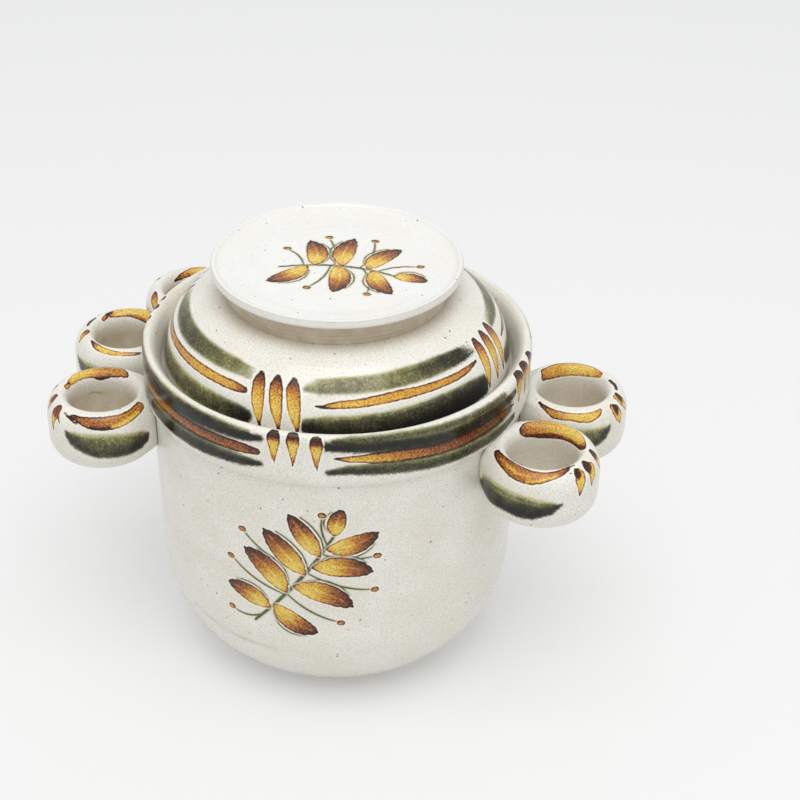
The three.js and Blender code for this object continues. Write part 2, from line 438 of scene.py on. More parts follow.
paleGlaze = dict(
    glazeColours, pale="#e6e5e1", warm="#e3e1db", gritDepth=0.26, halo=0.4, haloColour="#cdcba0")
stoneware = glazedStoneware("oatmealGlazedStoneware", glazeColours)
paleStoneware = glazedStoneware("paleGlazedStoneware", paleGlaze)
print("glazes mixed")


def finishPiece(piece, material, body, slot, *nodes):
    for name, value in plainMasks.items():
        if name not in piece.data.attributes:
            addMask(piece, name, np.full(len(piece.data.vertices), value))
    piece.data.materials.clear()
    piece.data.materials.append(material)
    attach(piece, body)
    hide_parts(*nodes)


# Jar

jar = {
    "steps": 424,
    "corners": [
        (0, 0), (35, 0, 0.8, 0.8), (56.4, 9.9, 23, 24), (59.2, 93, 1.2, 0.9), (61, 93.2, 0.9, 3.4),
        (61, 110.4, 2.4, 2.0), (58.6, 110.4, 0.6, 0.8), (56.9, 108.6, 0.8, 0.8), (55.4, 105.2, 1.2, 1.2),
        (55.4, 100.8, 0.8, 0.8), (49, 100.8, 0.9, 0.9),
        (49, 94.8, 2, 2), (53.7, 87.8, 4, 6), (51.4, 12, 20, 24), (31, 7, 6, 8), (0, 7),
    ],
    # Faces are finest outside these (radius, height) on the collar, and finer on the wall
    "fineFrom": (57, 93.5), "fineStep": 0.55, "wallFrom": (54.5, 20), "wallStep": 1.6, "plainStep": 6,
    "landmark": (61, 100, 100),
    "paintFrom": 20, "unpainted": -200,
    "groups": [1.3, 83.7, 176.0, 268.8], "dropScale": [1.0, 1.3, 1.1, 1.2],
    "drops": [(-5.8, 0.0), (-0.35, 0.2), (6.1, -0.8)],  # degrees from the group's middle, mm up
    "bandStart": 8.7, "bandEnd": 9.6,  # degrees from the groups at either end
    "lean": {"under": 0, "fringe": 0, "upper": -0.1, "lower": -0.22, "amber": 0.14},
    "patch": {"middle": 1.5, "degrees": 26, "low": 33, "high": 84.5, "cuts": 3}, "reround": (25, 90),
    "bareTo": 0.7, "bareFade": 0.5,
    "scar": [(-41, 28.5), (-30, 26.5), (-18, 25.2), (-6, 24.8)], "scarStain": 0.36,
    "scarWidth": 1.2, "scarOutside": 50,
    "crease": (56.9, 108.6), "creaseWidth": 0.9, "creaseStain": (0.12, 0.36), "creaseBearing": 5,
}


def jarStep(point):
    if np.all(point > jar["fineFrom"]):
        return jar["fineStep"]
    return jar["wallStep"] if np.all(point > jar["wallFrom"]) else jar["plainStep"]


jarSection = spaceOut(roundCorners(jar["corners"]), jarStep)
jarPiece = turnOnWheel("thrownJar", jarSection, jar["steps"])
outerEnd = int(np.argmax(jarSection[:, 1]))
outerSection = jarSection[:outerEnd + 1]


# Radius of the outside at a height, without the flat base
def wallRadius(height):
    return np.interp(height, outerSection[2:, 1], outerSection[2:, 0])


# Finer faces where the thin stems of the front sprig are, set back on the round of the wall
bpy.ops.object.mode_set(mode="EDIT")
bpy.ops.mesh.select_all(action="DESELECT")
bpy.ops.object.mode_set(mode="OBJECT")
for face in jarPiece.data.polygons:
    x, y, z = (c / mm for c in face.center)
    bearing = math.degrees(math.atan2(x, -y))
    face.select = (
        abs(bearing - jar["patch"]["middle"]) < jar["patch"]["degrees"]
        and jar["patch"]["low"] < z < jar["patch"]["high"]
        and math.hypot(x, y) > jar["wallFrom"][0]
    )
bpy.ops.object.mode_set(mode="EDIT")
bpy.ops.mesh.select_mode(type="FACE")
bpy.ops.mesh.subdivide(number_cuts=jar["patch"]["cuts"])
bpy.ops.mesh.select_mode(type="VERT")
bpy.ops.object.mode_set(mode="OBJECT")
points = readPoints(jarPiece)
radius = aboutAxis(points)[0]
low, high = jar["reround"]
onWall = (radius > jar["wallFrom"][0]) & (points[:, 2] > low) & (points[:, 2] < high)
reach = np.where(onWall, wallRadius(points[:, 2]) / np.maximum(radius, 1), 1)
points[:, 0] *= reach
points[:, 1] *= reach
writePoints(jarPiece, points)
print("jar turned,", len(jarPiece.data.polygons), "faces")

# Collar: between two groups of drops run a green band that spreads up the lip, an amber stroke laid on
# green, and a second green band. Each row is (share of the way, mm along, half width, tone), and the two
# sets take turns round the jar.
collarBands = [
    {
        "under": [(0.14, 103.2, 1.6, 0.66), (0.2, 103.0, 2.9, 0.66), (0.31, 102.7, 3.3, 0.66),
                  (0.5, 101.6, 3.3, 0.64), (0.66, 101.6, 3.4, 0.66), (0.85, 101.9, 3.0, 0.7),
                  (0.96, 102.0, 2.0, 0.8)],
        "fringe": [(0.03, 108.9, 0.9, 0.5), (0.1, 109.5, 1.1, 0.52), (0.31, 109.4, 1.2, 0.5),
                   (0.5, 108.6, 1.3, 0.5), (0.66, 108.3, 1.3, 0.52), (0.9, 108.2, 1.2, 0.55)],
        "upper": [(0.0, 107.4, 1.5, 0.9), (0.1, 107.3, 1.9, 0.85), (0.31, 106.7, 1.9, 0.8),
                  (0.5, 105.5, 2.1, 0.75), (0.66, 105.3, 2.1, 0.78), (0.85, 105.4, 2.0, 0.85),
                  (1.0, 105.7, 1.4, 0.95)],
        "amber": [(0.026, 103.4, 0.2, 0.9), (0.06, 103.3, 0.6, 0.5), (0.1, 103.1, 1.1, 0.14),
                  (0.2, 103.0, 1.6, 0.24), (0.31, 102.7, 1.9, 0.48), (0.5, 101.6, 1.8, 0.7),
                  (0.66, 101.6, 1.95, 0.78), (0.85, 101.9, 1.6, 0.8), (0.96, 102.0, 0.9, 0.85),
                  (1.0, 102.0, 0.3, 0.95)],
        "lower": [(0.01, 98.4, 0.8, 0.85), (0.1, 99.4, 1.6, 0.66), (0.31, 98.7, 2.1, 0.54),
                  (0.5, 97.5, 2.2, 0.5), (0.66, 97.1, 2.2, 0.52), (0.86, 96.8, 1.9, 0.6),
                  (1.0, 97.3, 1.2, 0.8)],
    },
    {
        "under": [(0.12, 103.0, 1.6, 0.66), (0.35, 103.1, 2.9, 0.66), (0.55, 103.1, 3.0, 0.66),
                  (0.74, 102.7, 3.1, 0.66), (0.9, 102.8, 2.7, 0.7)],
        "fringe": [(0.1, 108.8, 0.9, 0.4), (0.35, 109.2, 0.9, 0.4), (0.6, 109.3, 0.9, 0.4),
                   (0.8, 109.2, 0.9, 0.42), (0.95, 108.6, 0.8, 0.45)],
        "upper": [(0.0, 107.0, 1.4, 0.8), (0.2, 107.2, 2.2, 0.8), (0.55, 107.1, 2.4, 0.82),
                  (0.74, 107.4, 2.1, 0.86), (0.93, 107.1, 1.6, 0.92), (1.0, 107.7, 1.0, 0.95)],
        "amber": [(0.04, 103.0, 0.3, 0.7), (0.15, 103.0, 1.1, 0.42), (0.35, 103.1, 1.5, 0.5),
                  (0.55, 103.1, 1.6, 0.58), (0.74, 102.7, 1.8, 0.66), (0.93, 102.9, 1.8, 0.68),
                  (0.985, 102.8, 1.2, 0.82)],
        "lower": [(0.0, 98.0, 1.2, 0.8), (0.2, 98.0, 2.3, 0.72), (0.55, 98.0, 2.5, 0.72),
                  (0.74, 98.0, 2.3, 0.7), (0.93, 98.5, 1.7, 0.78), (1.0, 98.8, 0.8, 0.9)],
    },
]
collarDrop = [(109.9, 1.6, 1.0), (108.9, 2.0, 0.92), (108.1, 2.05, 0.5), (107.3, 1.9, 0.1),
              (104.0, 1.1, 0.06), (99.4, 0.12, 0.4)]


def between(first, last, rows):
    return [(first + share * (last - first), along, width, tone) for share, along, width, tone in rows]


jarGreen, jarAmber, jarLines = [], [], []
for count, here in enumerate(jar["groups"]):
    there = (jar["groups"][1:] + [jar["groups"][0] + 360])[count]
    bands = collarBands[count % 2]
    first, last = here + jar["bandStart"], there - jar["bandEnd"]
    for layer in ("under", "fringe", "upper", "lower"):
        jarGreen.append({"lean": jar["lean"][layer], "path": between(first, last, bands[layer])})
    jarAmber.append({"lean": jar["lean"]["amber"], "path": between(first, last, bands["amber"])})
    for offset, rise in jar["drops"]:
        jarAmber.append({"path": [
            (here + offset, along + rise, width * jar["dropScale"][count], tone)
            for along, width, tone in collarDrop]})

# Sprig on the front: a bowed stem with leaves by turns, and berries on thin stalks
frontSprig = {
    "middle": (1.5, 57.0), "radius": 58.2,
    "stems": [
        ((-15, -21.5), (2, -1.5), (11, 16.5), 0.6),
        ((-12, -17.8), (-16.6, -21.8), (-22.4, -20), 0.34), ((-4.6, -8.2), (-15, -5.6), (-21.5, 0.4), 0.34),
        ((-4.2, -7.6), (2.4, -14.6), (11.5, -17.4), 0.34), ((2.2, 1), (-9, 3.6), (-17.2, 12.4), 0.34),
        ((2.4, 1.4), (13, -4.6), (22, -5.2), 0.34), ((7.4, 9), (15, 6.4), (22.6, 7.6), 0.34),
        ((9.2, 12), (6.4, 17.4), (7.2, 22.4), 0.34),
    ],
    "leaves": [
        ((-9.6, -14.6), (-24, -9.8), 3.5, -0.06), ((-8.2, -13), (5.4, -22), 3.7, -0.1),
        ((-4, -7.4), (-17.4, 6.4), 3.9, -0.08), ((-1.8, -4.6), (16.4, -11.4), 3.9, 0.1),
        ((2, 0.6), (-10.6, 15.6), 3.7, 0.0), ((4.2, 3.6), (22.4, 1.8), 3.8, 0.08),
        ((6.6, 8), (-2.6, 22.8), 3.2, 0.0), ((8.6, 11), (23.8, 16.4), 3.5, -0.08),
        ((11, 16.4), (13.2, 25.6), 2.8, 0.06),
    ],
    "berries": [(-23.6, -19.4), (-22.8, 1.2), (12.9, -18), (-18, 13.4), (23.4, -5.4), (23.9, 7.8),
                (7.3, 23.8)],
    "berrySize": 1.0,
}
addSprig(
    frontSprig, lambda path: layOut(path, frontSprig["middle"], frontSprig["radius"]), jarLines, jarAmber)

radius, degrees = aboutAxis(points)
along = runAlong(radius, points[:, 2], jarSection, jar["landmark"])
along = np.where(points[:, 2] < jar["paintFrom"], jar["unpainted"], along)
brushOn(jarPiece, "green", degrees, along, radius, jarGreen)
brushOn(jarPiece, "amber", degrees, along, radius, jarAmber)
brushOn(jarPiece, "line", degrees, along, radius, jarLines)
addMask(jarPiece, "bareClay", np.clip((jar["bareTo"] - points[:, 2]) / jar["bareFade"], 0, 1))
scarHeight = np.interp(degrees, [a for a, z in jar["scar"]], [z for a, z in jar["scar"]])
onScar = (degrees > jar["scar"][0][0]) & (degrees < jar["scar"][-1][0])
onScar &= radius > jar["scarOutside"]
scar = np.where(onScar, np.clip(jar["scarWidth"] - np.abs(points[:, 2] - scarHeight), 0, 1), 0)
fromCrease = np.hypot(radius - jar["crease"][0], points[:, 2] - jar["crease"][1])
facing = np.clip(np.cos(np.radians(degrees - jar["creaseBearing"])), 0, 1) ** 2
allRound, inFront = jar["creaseStain"]
crease = np.clip(1 - fromCrease / jar["creaseWidth"], 0, 1) * (allRound + inFront * facing)
addMask(jarPiece, "thinGlazeAndShade", np.maximum(jar["scarStain"] * scar, crease))
smoothOver(jarPiece)
finishPiece(jarPiece, stoneware, "jar", "jar_glaze", "jar_body")
print("jar painted")


# Lid

lid = {
    "steps": 520,
    "corners": [
        (0, 126.1), (49.4, 126.1, 21.8, 16.2), (54.32, 104.8, 0.6, 0.5), (54.4, 101.1, 0.6, 0.6),
        (47, 101.1, 0.7, 0.7), (47, 104.5, 1, 1), (44, 121.1, 9, 10), (0, 121.1),
    ],
    "fineFrom": 34, "crownFrom": 122.5, "flankFrom": 48.4, "rimTo": 103, "fineStep": 0.55, "plainStep": 5,
    "landmark": (36, 125.6, 0),
    "groups": [-7.3, 79.3, 171, 261],
    "bandStart": 9.9, "bandEnd": 9.8, "upperLean": 0.05, "lowerLean": (0.34, 0.16),
    "petals": (-6.2, 0.3, 6.4), "petalLean": -0.1,  # petals in degrees from the group's middle
    "petalTip": (-2.0, 1.5), "petalReach": 8.5, "petalMiddle": 20,  # degrees a tip leans over a reach in mm
    "footShade": 0.34, "footFrom": 35, "footTo": 40,
}


def lidStep(point):
    outside = point[1] > lid["crownFrom"] or point[0] > lid["flankFrom"]
    painted = outside and point[0] > lid["fineFrom"] and point[1] > lid["rimTo"]
    return lid["fineStep"] if painted else lid["plainStep"]


lidSection = spaceOut(roundCorners(lid["corners"]), lidStep)
lidPiece = turnOnWheel("domedLid", lidSection, lid["steps"])
points = readPoints(lidPiece)
print("lid turned,", len(lidPiece.data.polygons), "faces")

# The same three bands as on the collar between groups of petals, again in two sets by turns
lidBands = [
    {
        "upper": [(0.0, 13.7, 1.4, 0.36), (0.065, 13.2, 2.3, 0.4), (0.17, 12.8, 2.6, 0.4),
                  (0.39, 12.6, 2.7, 0.3), (0.55, 12.3, 2.8, 0.34), (0.77, 12.2, 2.6, 0.65),
                  (0.92, 12.8, 2.2, 0.88), (1.0, 13.2, 1.4, 0.95)],
        "amber": [(0.05, 19.0, 0.25, 1.0), (0.09, 19.2, 0.55, 1.0), (0.11, 18.9, 0.8, 0.35),
                  (0.17, 18.4, 1.2, 0.18), (0.27, 18.2, 1.3, 0.2), (0.36, 17.75, 1.45, 0.25),
                  (0.47, 17.35, 1.55, 0.3), (0.58, 17.5, 1.4, 0.32), (0.7, 17.65, 1.25, 0.32),
                  (0.83, 17.8, 1.15, 0.34), (0.91, 17.6, 0.95, 0.45), (0.985, 17.1, 0.4, 0.85)],
        "lower": [(0.02, 25.3, 2.5, 0.75), (0.1, 25.2, 3.4, 0.6), (0.26, 25.2, 3.6, 0.6),
                  (0.45, 25.0, 3.7, 0.66), (0.68, 24.7, 4.0, 0.76), (0.88, 24.8, 3.9, 0.88),
                  (0.985, 25.2, 3.3, 0.95)],
    },
    {
        "upper": [(0.02, 13.2, 1.6, 0.52), (0.2, 13.2, 2.5, 0.5), (0.34, 13.2, 2.7, 0.54),
                  (0.48, 13.0, 2.8, 0.54), (0.63, 12.6, 2.6, 0.5), (0.76, 12.5, 2.5, 0.4),
                  (0.86, 12.4, 2.4, 0.36), (0.97, 12.9, 1.6, 0.42), (1.0, 13.0, 1.0, 0.4)],
        "amber": [(0.03, 19.3, 0.4, 0.7), (0.13, 19.3, 0.9, 0.42), (0.31, 19.1, 1.2, 0.42),
                  (0.48, 18.7, 1.3, 0.36), (0.59, 18.5, 1.4, 0.32), (0.69, 18.3, 1.55, 0.26),
                  (0.83, 18.2, 1.45, 0.24), (0.9, 18.15, 1.5, 0.3), (0.95, 18.2, 1.25, 0.55),
                  (0.975, 18.2, 0.9, 0.8)],
        "lower": [(0.0, 25.4, 2.4, 0.66), (0.1, 25.6, 3.1, 0.4), (0.4, 25.7, 3.3, 0.3),
                  (0.6, 25.7, 3.3, 0.28), (0.8, 25.6, 3.3, 0.36), (0.94, 25.5, 2.8, 0.68),
                  (1.0, 25.6, 2.2, 0.9)],
    },
]
lidPetal = [(12.7, 1.5, 0.9), (13.5, 1.8, 0.84), (14.6, 2.0, 0.64), (16.2, 2.1, 0.4), (18.6, 2.1, 0.2),
            (21.0, 1.95, 0.1), (23.4, 1.45, 0.1), (25.4, 0.9, 0.2), (26.4, 0.6, 0.6), (27.2, 0.5, 0.92)]

lidGreen, lidAmber = [], []
for count, here in enumerate(lid["groups"]):
    there = (lid["groups"][1:] + [lid["groups"][0] + 360])[count]
    bands = lidBands[count % 2]
    first, last = here + lid["bandStart"], there - lid["bandEnd"]
    tip = lid["petalTip"][count % 2]
    lidGreen.append({"lean": lid["upperLean"], "path": between(first, last, bands["upper"])})
    lidGreen.append({"lean": lid["lowerLean"][count % 2], "path": between(first, last, bands["lower"])})
    lidAmber.append({"path": between(first, last, bands["amber"])})
    for offset in lid["petals"]:
        lidAmber.append({"lean": lid["petalLean"], "path": [
            (here + offset + tip * (lid["petalMiddle"] - along) / lid["petalReach"], along, width, tone)
            for along, width, tone in lidPetal]})

radius, degrees = aboutAxis(points)
along = runAlong(radius, points[:, 2], lidSection, lid["landmark"])
brushOn(lidPiece, "green", degrees, along, radius, lidGreen)
brushOn(lidPiece, "amber", degrees, along, radius, lidAmber)
# Painted shade on the crown, darkest at the dish's foot and fading outwards
onCrown = points[:, 2] > lid["crownFrom"]
toFoot = np.clip((lid["footTo"] - radius) / (lid["footTo"] - lid["footFrom"]), 0, 1)
addMask(lidPiece, "thinGlazeAndShade", lid["footShade"] * onCrown * toFoot ** 2)
smoothOver(lidPiece)
finishPiece(lidPiece, stoneware, "lid", "lid_glaze", "lid_dome")
print("lid painted")


# Dish

dish = {
    "steps": 360,
    "corners": [
        (0, 129.8), (28, 129.8, 0.8, 0.8), (28, 125.9, 0.4, 0.4), (34.4, 125.4, 0.3, 0.3),
        (34.5, 127.3, 0.5, 0.4), (35.3, 128.0, 0.5, 0.5), (34.7, 128.8, 0.5, 0.8),
        (34.9, 131.9, 1.6, 1.6), (38.4, 133.1, 0.6, 0.25), (38.7, 133.5, 0.2, 0.3),
        (38.7, 135.9, 0.8, 0.5), (37.5, 135.85, 0.4, 0.4), (36.4, 134.9, 0.6, 1.2),
        (31.2, 134.25, 2.4, 1.0), (30.4, 134.1, 0.5, 1.5), (0, 133.9),
    ],
    "topFrom": 133.5, "fineStep": 0.42, "plainStep": 2.5,
    "throwing": {"within": 29.5, "spacing": 3.3, "depth": 0.035},
    "paintWithin": 34, "unpainted": 150,
    "neckFrom": 33, "neckTop": 133.5, "neckFade": 0.9, "neckStainAndShade": 0.72,
    "edges": [(38.6, 135.6), (38.6, 133.4)], "edgeStain": 0.4, "edgeWidth": 0.5,
}


def dishStep(point):
    return dish["fineStep"] if point[1] > dish["topFrom"] else dish["plainStep"]


dishSection = spaceOut(roundCorners(dish["corners"]), dishStep)
throwing = dish["throwing"]
onFloor = (dishSection[:, 1] > dish["topFrom"]) & (dishSection[:, 0] < throwing["within"])
ripple = throwing["depth"] * np.sin(dishSection[:, 0] * 2 * math.pi / throwing["spacing"])
dishSection[:, 1] += np.where(onFloor, ripple, 0)
dishPiece = turnOnWheel("dishKnob", dishSection, dish["steps"])
points = readPoints(dishPiece)
print("dish turned,", len(dishPiece.data.polygons), "faces")

dishSprig = {
    "middle": (3.4, -2.0),
    "stems": [
        ((-20, -4), (-1.75, 4.7), (15.5, -2.2), 0.55),
        ((-13, -1.8), (-14.6, 4.4), (-19.6, 7.2), 0.34), ((-5, 0.4), (-4.6, -8.4), (-8.2, -13.6), 0.34),
        ((-4, 0.6), (-4.6, 10), (-9, 16.8), 0.34), ((4, 0.8), (7.4, 9), (5.2, 17.4), 0.34),
        ((5, 0.6), (9.6, -6.2), (9.4, -13.4), 0.34), ((10, 0), (14.4, 4.6), (20.6, 5), 0.34),
    ],
    "leaves": [
        ((-12, -1.4), (-21.4, -13.4), 3.3, 0.1), ((-10, -0.6), (-14.6, 14.4), 3.4, -0.1),
        ((-3.4, 0.6), (-0.6, -15.4), 3.4, 0.1), ((-1.4, 0.9), (-1.6, 18.6), 3.5, 0.08),
        ((6.6, 0.6), (14, 14.6), 3.4, 0.1), ((8.4, 0.2), (16.6, -13), 3.2, -0.1),
        ((15, -2), (25.4, -3.4), 2.6, 0.06),
    ],
    "berries": [(-20.6, 8.2), (-8.8, -14.8), (-9.6, 18.2), (5, 18.8), (9.6, -14.8), (22, 5.4)],
    "berrySize": 0.95,
}
dishLines, dishAmber = [], []
flat = math.degrees(1)  # one mm round is one degree, so the dish floor is painted as a plane
addSprig(dishSprig, lambda path: layOut(path, dishSprig["middle"], flat), dishLines, dishAmber)
radius = aboutAxis(points)[0]
onFloor = (points[:, 2] > dish["topFrom"]) & (radius < dish["paintWithin"])
across = np.where(onFloor, points[:, 0], dish["unpainted"])
brushOn(dishPiece, "line", across, points[:, 1], flat, dishLines)
brushOn(dishPiece, "amber", across, points[:, 1], flat, dishAmber)
# The neck is tan where the glaze is thin, and darkened further as painted shade under the rim's overhang
onNeck = radius > dish["neckFrom"]
neck = onNeck * np.clip((dish["neckTop"] - points[:, 2]) / dish["neckFade"], 0, 1)
worn = np.zeros(len(points))
for edgeRadius, edgeHeight in dish["edges"]:
    fromEdge = np.hypot(radius - edgeRadius, points[:, 2] - edgeHeight)
    worn = np.maximum(worn, np.clip(1 - fromEdge / dish["edgeWidth"], 0, 1))
addMask(dishPiece, "thinGlazeAndShade", np.maximum(dish["neckStainAndShade"] * neck, dish["edgeStain"] * worn))
smoothOver(dishPiece)
finishPiece(dishPiece, paleStoneware, "lid", "dish_glaze", "lid_dish")
print("dish painted")


# Rings, turned once and copied

ring = {
    "steps": 220,
    "corners": [
        (10.5, 10), (10.5, 20, 4.0, 2.5), (17.45, 20, 4.5, 6.8), (17.45, 0, 6.8, 4.5), (10.5, 0, 2.5, 4.0),
    ],
    "step": 0.5,
    "centre": 74.4, "bottom": 75, "halfHeight": 10,
    "landmark": (10.5, 12, 0), "greenLean": 0.36,
    "bore": 12.4, "boreFade": 1.4, "boreTop": 17.5, "boreDepth": 5,
    "press": 0.05, "flareReach": 5, "flare": 2.2, "flareSide": 8, "flareCore": 0.3, "flareDrop": 0.5,
    "bearings": {
        "left_front": -68.6, "left_middle": -98.18, "left_back": -126.26,
        "right_front": 68.6, "right_back": 96.68,
    },
}

# Marks on each ring, counted round from its outermost point, with plus towards the front of the jar.
# The marks in amberOver lie on the broader ones in amber.
greenSmear = [
    (47.5, 17.4, 0.5, 0.85), (51.5, 18.6, 1.6, 0.7), (57.5, 19.4, 2.7, 0.5), (62.5, 19.9, 3.2, 0.42),
    (73, 20.4, 3.9, 0.36), (83, 20.9, 4.3, 0.36), (93, 21.1, 4.3, 0.38), (104, 21.5, 4.2, 0.4),
    (114, 21.8, 3.9, 0.46), (126, 22.1, 3.3, 0.66), (134, 22.2, 2.1, 0.85), (138.5, 21.5, 0.9, 0.9),
]
backSmear = [(-bearing, along, width, tone) for bearing, along, width, tone in greenSmear]
dropSpots = (-24, 2, 26)
plainDrops = [
    [(spot, 11.4, 1.2, 0.25), (spot, 13.0, 1.8, 0.12), (spot, 14.6, 1.7, 0.08), (spot, 16.6, 1.0, 0.06),
     (spot, 19.6, 0.12, 0.4)]
    for spot in dropSpots
]
plainCaps = [[(spot, 11.1, 0.9, 1.0), (spot, 12.3, 1.5, 1.0), (spot, 13.3, 0.9, 0.95)] for spot in dropSpots]
